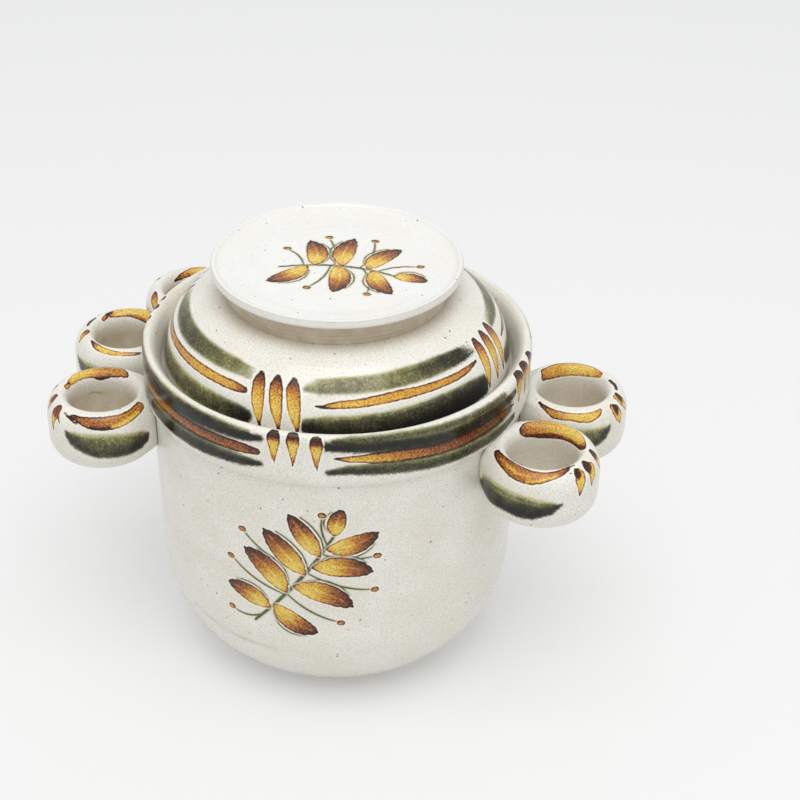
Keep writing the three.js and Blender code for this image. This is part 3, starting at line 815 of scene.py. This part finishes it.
ringPaint = {
    "left_front": {
        "green": [
            greenSmear, backSmear,
            [(-66, 0.6, 0.25, 0.2), (-74, 0.9, 0.35, 0.25), (-86, 0.2, 0.3, 0.2), (-96, -0.4, 0.2, 0.15)],
        ],
        "amber": [
            [(50, 11.9, 0.4, 0.8), (56, 12.0, 0.8, 0.7), (63, 12.45, 1.2, 0.6), (70, 12.8, 1.65, 0.6),
             (75, 13.0, 1.95, 0.58), (86, 13.2, 2.2, 0.55), (96, 13.2, 2.2, 0.5), (106, 13.1, 2.1, 0.46),
             (118, 12.7, 1.8, 0.42), (133, 11.8, 1.6, 0.48), (141, 11.2, 1.4, 0.5)],
            [(-36, 7.8, 1.0, 0.12), (-42, 7.9, 1.2, 0.08), (-53, 8.4, 1.7, 0.06), (-64, 8.75, 2.1, 0.1),
             (-77, 8.6, 2.4, 0.22), (-90, 8.2, 2.8, 0.4), (-102, 8.4, 2.6, 0.46), (-116, 8.5, 2.3, 0.44),
             (-128, 8.1, 1.4, 0.48), (-136, 7.6, 0.6, 0.6)],
            [(-21, 7.7, 0.8, 0.2), (-29, 7.6, 0.85, 0.25)],
            [(27.6, 12.0, 1.5, 0.4), (27, 13.4, 1.9, 0.25), (26.4, 14.8, 1.5, 0.1),
             (25.8, 17, 0.85, 0.06), (25.5, 20.4, 0.12, 0.3)],
            [(33, 14, 0.6, 0.15), (38, 15.6, 0.2, 0.2)],
            [(3, 10.9, 1.1, 0.4), (5, 12.2, 1.5, 0.2), (6.4, 13.4, 1.1, 0.1), (8, 15.8, 0.12, 0.3)],
            [(-22, 12.0, 1.2, 0.4), (-20, 13.4, 1.5, 0.2), (-19, 14.8, 1.1, 0.1), (-18, 18, 0.1, 0.3)],
        ],
        "amberOver": [
            [(39, 11.9, 0.25, 1.0), (50, 12.6, 0.45, 1.0), (59, 13.9, 0.35, 1.0)],
            [(76, 14.3, 0.3, 1.0), (85, 14.8, 0.5, 1.0), (96, 14.6, 0.4, 1.0)],
            [(98, 14.4, 0.5, 0.2), (108, 14.3, 0.7, 0.06), (120, 13.6, 0.8, 0.04), (132, 12.6, 0.6, 0.12)],
            [(-80, 6.0, 0.3, 0.9), (-88, 5.6, 0.6, 1.0), (-96, 5.7, 0.5, 1.0), (-104, 6.0, 0.3, 0.8)],
            [(-31, 8.0, 0.4, 0.85), (-33, 8.0, 0.4, 0.85)],
            [(27.8, 12.2, 1.2, 0.8), (27.4, 13.4, 1.5, 0.75)],
            [(3.4, 11.0, 0.9, 0.8), (5, 12.0, 1.2, 0.75)],
            [(-22, 12.0, 1.0, 1.0), (-20.5, 13.2, 1.2, 0.9)],
        ],
        "boreStainAndShade": 0.6,
    },
    "left_middle": {
        "green": [greenSmear, backSmear],
        "amber": [
            [(56, 9.4, 0.4, 0.95), (62, 9.6, 0.7, 0.9), (69, 10.0, 1.1, 0.5), (75, 10.4, 1.15, 0.1),
             (84, 10.7, 1.1, 0.05), (95, 11.0, 0.95, 0.05), (108, 11.2, 0.75, 0.08),
             (120, 11.4, 0.65, 0.12), (130, 11.6, 0.5, 0.5), (134, 11.6, 0.3, 0.8)],
            [(-38, 8.2, 1.3, 0.3), (-46, 8.4, 1.8, 0.12), (-60, 8.6, 2.1, 0.08), (-75, 8.5, 2.4, 0.1),
             (-88, 8.0, 2.6, 0.1), (-101, 7.3, 2.5, 0.14), (-112, 6.8, 1.6, 0.4)],
            [(-20, 7.5, 0.7, 0.35), (-27, 7.9, 0.8, 0.35)],
            [(27, 9.2, 1.0, 0.4), (31, 10.0, 1.3, 0.3), (36, 11.4, 1.0, 0.12), (41, 13.2, 0.2, 0.3)],
            *plainDrops[:1],
        ],
        "amberOver": [
            [(-62, 6.9, 0.3, 0.5), (-77, 6.5, 0.5, 0.56), (-90, 5.9, 0.6, 0.6), (-101, 5.2, 0.5, 0.7)],
            [(-31, 8.6, 0.6, 0.9), (-37, 8.7, 0.8, 0.85)],
            [(27.6, 9.2, 0.8, 0.65), (31, 9.8, 1.0, 0.6)],
            [(-12, 9.6, 0.4, 1.0), (0, 9.8, 0.7, 1.0), (12, 9.8, 0.4, 1.0)],
            *plainCaps[:1],
        ],
        "boreStainAndShade": 0.7,
    },
    "left_back": {
        "green": [greenSmear, backSmear],
        "amber": [
            [(66, 10.6, 0.6, 0.85), (72, 11.5, 1.4, 0.6), (78, 12.5, 1.7, 0.35), (84, 13.6, 1.4, 0.2),
             (88, 14.5, 0.6, 0.25)],
            [(6, 5.8, 0.5, 0.8), (-5, 6.2, 0.9, 0.6), (-16, 6.8, 1.2, 0.4), (-30, 7.5, 1.5, 0.25),
             (-44, 8.1, 1.7, 0.15), (-70, 8.6, 2.0, 0.15), (-100, 8.2, 2.0, 0.3), (-125, 7.6, 1.0, 0.6)],
            *plainDrops,
        ],
        "amberOver": [*plainCaps],
        "boreStainAndShade": 0.6,
    },
    "right_front": {
        "green": [
            [(140, 21.5, 1.2, 0.25), (121, 19.8, 1.9, 0.25), (105, 19.4, 1.7, 0.25),
             (92, 19.4, 1.6, 0.25), (81, 19.5, 1.5, 0.25), (62, 20.1, 1.2, 0.3), (48, 20.5, 0.7, 0.4)],
            [(148, 24, 1.2, 0.85), (138, 24, 2.3, 0.8), (121, 23.2, 3.4, 0.68), (105, 22.8, 3.1, 0.62),
             (92, 22.8, 3.2, 0.62), (81, 23.1, 3.4, 0.62), (70, 23.0, 3.1, 0.62), (61, 22.5, 2.4, 0.66),
             (53, 22.1, 2.1, 0.72), (47, 21.5, 1.2, 0.8), (41, 20.8, 0.4, 0.9)],
            backSmear,
        ],
        "amber": [
            [(135, 10.4, 0.9, 0.85), (130, 10.6, 1.2, 0.78), (122, 10.5, 1.6, 0.68),
             (108, 10.65, 2.1, 0.6), (96, 11.3, 2.4, 0.56), (84, 11.8, 2.4, 0.54), (73.5, 12.0, 2.2, 0.5),
             (63.5, 11.75, 1.85, 0.46), (53, 11.2, 1.4, 0.4), (42, 10.6, 1.2, 0.5), (32, 9.7, 1.0, 0.7),
             (24, 9.0, 0.5, 0.95), (16, 9.2, 0.3, 1.0)],
            [(-152, 6.9, 1.3, 0.85), (-145, 6.9, 2.2, 0.55), (-139, 7.0, 2.7, 0.42),
             (-122, 7.1, 3.4, 0.36), (-106, 7.4, 3.4, 0.24), (-88, 7.8, 3.1, 0.12), (-72, 7.8, 2.7, 0.08),
             (-60, 7.7, 2.3, 0.08), (-48, 7.7, 1.9, 0.14), (-38, 7.9, 1.4, 0.55), (-31, 8.2, 0.8, 0.95)],
            [(17.5, 11.6, 1.0, 0.2), (18, 13, 1.8, 0.12), (18.8, 14.5, 1.9, 0.08), (20, 16.5, 1.2, 0.06),
             (21, 19.6, 0.15, 0.5)],
            [(1, 11, 1.0, 0.2), (-1, 13, 2.0, 0.12), (0, 14.8, 1.7, 0.08), (3, 16.5, 0.9, 0.06),
             (4, 18.3, 0.15, 0.4)],
            [(-24, 10.8, 1.0, 0.2), (-22, 12.6, 1.7, 0.12), (-21, 14.2, 1.4, 0.08), (-20, 17, 0.15, 0.4)],
        ],
        "amberOver": [
            [(120, 10.8, 0.25, 0.25), (105, 11.1, 0.35, 0.2), (90, 11.8, 0.4, 0.2), (75, 12.1, 0.35, 0.2)],
            [(78, 13.5, 0.35, 0.2), (66, 13.0, 0.5, 0.1), (54, 12.1, 0.5, 0.08), (45, 11.4, 0.3, 0.2)],
            [(-146, 5.4, 0.4, 0.85), (-128, 4.6, 0.7, 0.85), (-108, 4.9, 0.8, 0.9), (-88, 5.5, 0.6, 0.8),
             (-68, 5.9, 0.5, 0.8), (-48, 6.4, 0.5, 0.85), (-34, 7.6, 0.6, 0.95)],
            [(19.5, 11.3, 0.9, 1.0), (20, 12.4, 1.2, 1.0), (20.5, 13.2, 0.6, 0.95)],
            [(26, 11.6, 0.15, 1.0), (29, 11.2, 0.25, 1.0)],
            [(2, 10.4, 0.9, 1.0), (2.5, 12, 1.7, 1.0), (3, 13.4, 0.8, 0.95)],
            [(-26, 10.6, 0.8, 1.0), (-23, 11.8, 1.3, 1.0), (-20, 12.8, 0.6, 0.9)],
        ],
        "boreStainAndShade": 0.36,
    },
    "right_back": {
        "green": [greenSmear, backSmear],
        "amber": [
            [(135, 10.9, 0.4, 0.8), (128, 11.3, 0.6, 0.55), (120, 11.8, 0.9, 0.45),
             (111, 12.5, 1.4, 0.42), (102, 12.6, 1.4, 0.35), (92, 12.5, 1.2, 0.15), (81, 12.8, 1.5, 0.1),
             (70, 12.9, 1.6, 0.08), (60, 12.2, 1.1, 0.14), (55, 11.4, 0.6, 0.3)],
            [(-145, 6.5, 1.2, 0.6), (-137, 7.2, 2.0, 0.42), (-130, 7.0, 2.2, 0.35), (-110, 7.4, 2.6, 0.3),
             (-85, 7.8, 2.6, 0.15), (-60, 7.8, 2.0, 0.1), (-45, 7.9, 1.2, 0.4)],
            [(38, 11.8, 0.8, 0.2), (34, 13.5, 1.9, 0.15), (32, 15.5, 1.8, 0.1), (30, 18.8, 0.3, 0.2)],
            [(20, 10.8, 1.2, 0.2), (17, 12.6, 1.8, 0.12), (15, 14.4, 1.3, 0.1), (14, 16.8, 0.2, 0.3)],
        ],
        "amberOver": [
            [(34.5, 11.9, 0.7, 1.0), (33, 13.2, 1.2, 1.0), (33.5, 14.6, 0.7, 0.95)],
            [(13.5, 10.3, 0.8, 1.0), (15, 11.6, 1.2, 1.0), (17, 12.8, 0.7, 0.95)],
            [(-22, 8.6, 0.4, 1.0), (-10, 9.4, 0.7, 1.0), (3, 10.0, 0.5, 1.0)],
        ],
        "boreStainAndShade": 0.5,
    },
}


def ringMarks(paint, side):
    def turned(path):
        return [(side * bearing, along, width, tone) for bearing, along, width, tone in path]

    green = []
    for path in paint["green"]:
        onward = 1 if path[0][0] < path[-1][0] else -1
        green.append({"lean": side * onward * ring["greenLean"], "path": turned(path)})
    amber = [{"path": turned(path)} for path in paint["amber"] + paint["amberOver"]]
    return green, amber


ringSection = spaceOut(roundCorners(ring["corners"], closed=True), lambda point: ring["step"])
ringBlank = turnOnWheel("ring", ringSection, ring["steps"])
blank = readPoints(ringBlank)
blankRadius = np.hypot(blank[:, 0], blank[:, 1])
blankDegrees = np.degrees(np.arctan2(blank[:, 1], blank[:, 0]))
blankAlong = runAlong(blankRadius, blank[:, 2], ringSection, ring["landmark"])
# Tan down the bore: a stain from use, deepened with depth as painted shade
inBore = np.clip((ring["bore"] - blankRadius) / ring["boreFade"], 0, 1)
inBore = inBore * np.clip((ring["boreTop"] - blank[:, 2]) / ring["boreDepth"], 0, 1)

# Set against the wall: what would be inside it is pressed flat, and the clay beside it flares out
seat = blank + np.array([ring["centre"], 0, ring["bottom"]])
gap = np.hypot(seat[:, 0], seat[:, 1]) - wallRadius(seat[:, 2])
flare = ring["flare"] * np.clip(1 - np.maximum(gap, 0) / ring["flareReach"], 0, 1) ** 2
toSide = seat[:, 1] / ring["flareSide"]
toTop = (seat[:, 2] - ring["bottom"] - ring["halfHeight"]) / ring["halfHeight"]
length = np.maximum(np.hypot(toSide, toTop), ring["flareCore"])
seat[:, 1] += flare * toSide / length
seat[:, 2] += flare * ring["flareDrop"] * np.minimum(toTop, 0) / length
wall = wallRadius(seat[:, 2]) + ring["press"]
out = np.hypot(seat[:, 0], seat[:, 1])
scale = np.where(out < wall, wall / out, 1)
seat[:, 0] *= scale
seat[:, 1] *= scale
writePoints(ringBlank, seat)
smoothOver(ringBlank)

for name, bearing in ring["bearings"].items():
    bpy.ops.object.select_all(action="DESELECT")
    ringBlank.select_set(True)
    bpy.context.view_layer.objects.active = ringBlank
    bpy.ops.object.duplicate(linked=False)
    piece = bpy.context.object
    piece.name = "ring_" + name
    piece.data.name = piece.name
    green, amber = ringMarks(ringPaint[name], 1 if bearing < 0 else -1)
    brushOn(piece, "green", blankDegrees, blankAlong, blankRadius, green)
    brushOn(piece, "amber", blankDegrees, blankAlong, blankRadius, amber)
    addMask(piece, "thinGlazeAndShade", ringPaint[name]["boreStainAndShade"] * inBore)
    piece.rotation_euler = (0, 0, math.radians(bearing - 90))
    bpy.ops.object.transform_apply(location=False, rotation=True, scale=False)
    finishPiece(piece, stoneware, "jar", "ring_glaze", "pipe_ring_" + name)
    print("ring", name, "set")
bpy.data.objects.remove(ringBlank)


# Studio: a pale sweep, an even sky and one large soft box overhead

studio = {
    "floorSize": 8, "floor": "#e7e7e5", "floorWhite": "#f4f4f3", "floorLift": 0.33,
    "sky": "#fafcff", "skyStrength": 0.79, "skySeen": 0.86,
    "boxSize": 0.9, "boxPower": 8.8, "boxPlace": (0.12, -0.4, 1.25),
}


# One where a ray comes from the camera, or from a reflection or glass that shows the background
def seenDirectly(tree):
    rays = addNode(tree, "LightPath").node.outputs
    seen = addNode(tree, "Math", [rays["Is Camera Ray"], rays["Is Glossy Ray"]])
    return addNode(tree, "Math", [seen, rays["Is Transmission Ray"]])


bpy.ops.object.select_all(action="DESELECT")
bpy.ops.mesh.primitive_plane_add(size=studio["floorSize"], location=(0, 0, 0))
floor = bpy.context.object
floor.name = "studioFloor"
paper = bpy.data.materials.new("matteBackgroundPaper")
paper.use_nodes = True
tree = paper.node_tree
tree.nodes.clear()
seen = seenDirectly(tree)
lift = addNode(tree, "Math", [seen, studio["floorLift"]], operation="MULTIPLY")
lit = addNode(tree, "BsdfDiffuse", [linear(studio["floor"])])
white = addNode(tree, "Emission", [linear(studio["floorWhite"])])
sweep = addNode(tree, "MixShader", [lift, lit, white])
addNode(tree, "OutputMaterial", [sweep])
floor.data.materials.append(paper)

world = bpy.data.worlds.new("studioSky")
bpy.context.scene.world = world
world.use_nodes = True
tree = world.node_tree
tree.nodes.clear()
seen = seenDirectly(tree)
strength = addNode(tree, "MapRange", [seen, 0, 1, studio["skyStrength"], studio["skySeen"]])
sky = addNode(tree, "Background", [linear(studio["sky"]), strength])
addNode(tree, "OutputWorld", [sky])

bpy.ops.object.light_add(type="AREA", location=studio["boxPlace"])
box = bpy.context.object
box.name = "overheadBox"
box.data.size = studio["boxSize"]
box.data.energy = studio["boxPower"]
aim = math.atan2(math.hypot(*studio["boxPlace"][:2]), studio["boxPlace"][2])
box.rotation_euler = (0, aim, math.atan2(studio["boxPlace"][1], studio["boxPlace"][0]))
print("studio lit")

camera = {
    "bearing": 13.0, "away": 0.4864, "height": 0.3959, "down": 32.64,
    "lens": 81, "sensor": 36, "shift": 0.07875,
}
swing = math.radians(camera["bearing"])
bpy.ops.object.camera_add(
    location=(camera["away"] * math.sin(swing), -camera["away"] * math.cos(swing), camera["height"]),
    rotation=(math.radians(90 - camera["down"]), 0, swing))
viewer = bpy.context.object
viewer.data.sensor_width = camera["sensor"]
viewer.data.lens = camera["lens"]
viewer.data.shift_x = camera["shift"]
bpy.context.scene.camera = viewer
bpy.context.scene.view_settings.view_transform = "Standard"
print("camera set")
